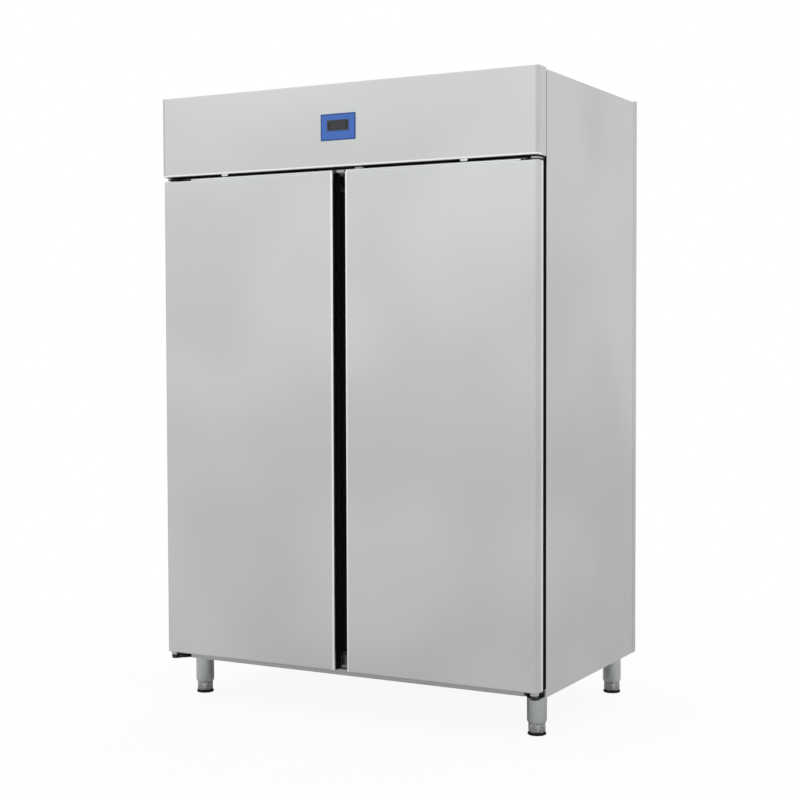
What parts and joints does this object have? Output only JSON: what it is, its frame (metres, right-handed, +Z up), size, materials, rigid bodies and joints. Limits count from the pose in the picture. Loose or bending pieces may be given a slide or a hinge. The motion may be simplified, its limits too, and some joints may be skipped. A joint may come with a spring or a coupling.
{
  "type": "upright freezer",
  "caption": "Free-standing commercial upright freezer: stainless cabinet with hinged insulated doors, a tilting control header, wire shelves, a cooling unit and levelling legs.",
  "frame": {"origin": "on the floor under the middle of the freezer's outer box", "axes": "+X to the right as one faces the doors, +Y from the doors to the back, +Z up"},
  "size_m": [1.4, 0.87, 2.07],
  "materials": {
    "stainless_panel": "fine satin brushed stainless sheet",
    "liner_steel": "satin stainless sheet",
    "galvanised_sheet": "plain galvanised sheet",
    "insulation_foam": "closed-cell foam",
    "thermal_break": "matt moulded plastic",
    "mullion_black": "matt extruded plastic",
    "grip_black": "matt extruded plastic",
    "gasket_rubber": "soft magnetic gasket",
    "bush_nylon": "plain nylon",
    "hinge_steel": "satin steel plate",
    "fascia_blue": "smooth printed membrane",
    "controller_black": "moulded plastic",
    "display_smoke": "smoked clear plastic",
    "leg_steel": "turned steel",
    "foot_steel": "turned steel",
    "pad_black": "hard plastic",
    "shelf_coating": "plastic-coated wire",
    "runner_steel": "satin stainless sheet",
    "cooler_white": "smooth white paint",
    "fan_black": "moulded plastic",
    "motor_grey": "satin paint",
    "coil_aluminium": "plain fins",
    "compressor_black": "satin black paint",
    "mount_rubber": "moulded rubber",
    "copper_tube": "bare copper",
    "box_grey": "moulded plastic",
    "gland_black": "moulded plastic"
  },
  "bodies": {
    "cabinet": {"right_side_panel": "stainless_panel", "left_side_panel": "stainless_panel", "back_panel": "stainless_panel", "rear_grille": "galvanised_sheet", "base_panel": "stainless_panel", "deck_panel": "galvanised_sheet", "cabinet_insulation": "insulation_foam", "inner_liner": "liner_steel", "thermal_break": "thermal_break", "mullion_post": "galvanised_sheet", "mullion_cover": "mullion_black", "hinge_brackets": "hinge_steel", "header_hinges": "hinge_steel", "leg_tubes": "leg_steel", "shelf_uprights": "runner_steel", "shelf_runners": "runner_steel", "wire_shelves": "shelf_coating", "evaporator_cover": "cooler_white", "evaporator_coil": "coil_aluminium", "evaporator_fan_motors": "motor_grey", "evaporator_fan_guards": "fan_black", "unit_tray": "galvanised_sheet", "condenser_coil": "coil_aluminium", "condenser_shroud": "motor_grey", "condenser_fan_motor": "motor_grey", "compressor": "compressor_black", "compressor_mounts": "mount_rubber", "filter_drier": "copper_tube", "refrigerant_tubes": "copper_tube", "electrical_box": "box_grey", "cable_gland": "gland_black"},
    "right_door": {"right_door_skin": "stainless_panel", "right_door_foam": "insulation_foam", "right_door_liner": "liner_steel", "right_door_gasket": "gasket_rubber", "right_door_grip": "grip_black", "right_door_bushes": "bush_nylon"},
    "left_door": {"left_door_skin": "stainless_panel", "left_door_foam": "insulation_foam", "left_door_liner": "liner_steel", "left_door_gasket": "gasket_rubber", "left_door_grip": "grip_black", "left_door_bushes": "bush_nylon"},
    "header": {"header_panel": "stainless_panel", "controller_fascia": "fascia_blue", "controller_case": "controller_black", "display_window": "display_smoke"},
    "condenser_rotor": {"condenser_fan": "fan_black"},
    "left_rotor": {"left_evaporator_fan": "fan_black"},
    "right_rotor": {"right_evaporator_fan": "fan_black"},
    "front_right_leveller": {"front_right_foot": "foot_steel", "front_right_pad": "pad_black"},
    "front_left_leveller": {"front_left_foot": "foot_steel", "front_left_pad": "pad_black"},
    "back_right_leveller": {"back_right_foot": "foot_steel", "back_right_pad": "pad_black"},
    "back_left_leveller": {"back_left_foot": "foot_steel", "back_left_pad": "pad_black"}
  },
  "joints": [
    {"name": "right_door_hinge", "type": "hinge", "parent": "cabinet", "child": "right_door", "pos_m": [0.68, -0.4105, 0.1605], "axis": [0, 0, 1], "range_deg": [0, 110], "stiffness_Nm_per_rad": 2.5, "springref_deg": -22.92},
    {"name": "left_door_hinge", "type": "hinge", "parent": "cabinet", "child": "left_door", "pos_m": [-0.68, -0.4105, 0.1605], "axis": [0, 0, -1], "range_deg": [0, 110], "stiffness_Nm_per_rad": 2.5, "springref_deg": -22.92},
    {"name": "header_tilt", "type": "hinge", "parent": "cabinet", "child": "header", "pos_m": [0, -0.372, 2.066], "axis": [-1, 0, 0], "range_deg": [0, 75]},
    {"name": "condenser_fan_spin", "type": "hinge", "parent": "cabinet", "child": "condenser_rotor", "pos_m": [-0.14, -0.15, 1.903], "axis": [0, 1, 0], "continuous": true},
    {"name": "left_evaporator_fan_spin", "type": "hinge", "parent": "cabinet", "child": "left_rotor", "pos_m": [-0.26, -0.1, 1.6445], "axis": [0, 1, 0], "continuous": true},
    {"name": "right_evaporator_fan_spin", "type": "hinge", "parent": "cabinet", "child": "right_rotor", "pos_m": [0.26, -0.1, 1.6445], "axis": [0, 1, 0], "continuous": true},
    {"name": "front_right_levelling", "type": "slide", "parent": "cabinet", "child": "front_right_leveller", "axis": [0, 0, -1], "range_m": [0, 0.045]},
    {"name": "front_left_levelling", "type": "slide", "parent": "cabinet", "child": "front_left_leveller", "axis": [0, 0, -1], "range_m": [0, 0.045]},
    {"name": "back_right_levelling", "type": "slide", "parent": "cabinet", "child": "back_right_leveller", "axis": [0, 0, -1], "range_m": [0, 0.045]},
    {"name": "back_left_levelling", "type": "slide", "parent": "cabinet", "child": "back_left_leveller", "axis": [0, 0, -1], "range_m": [0, 0.045]}
  ]
}
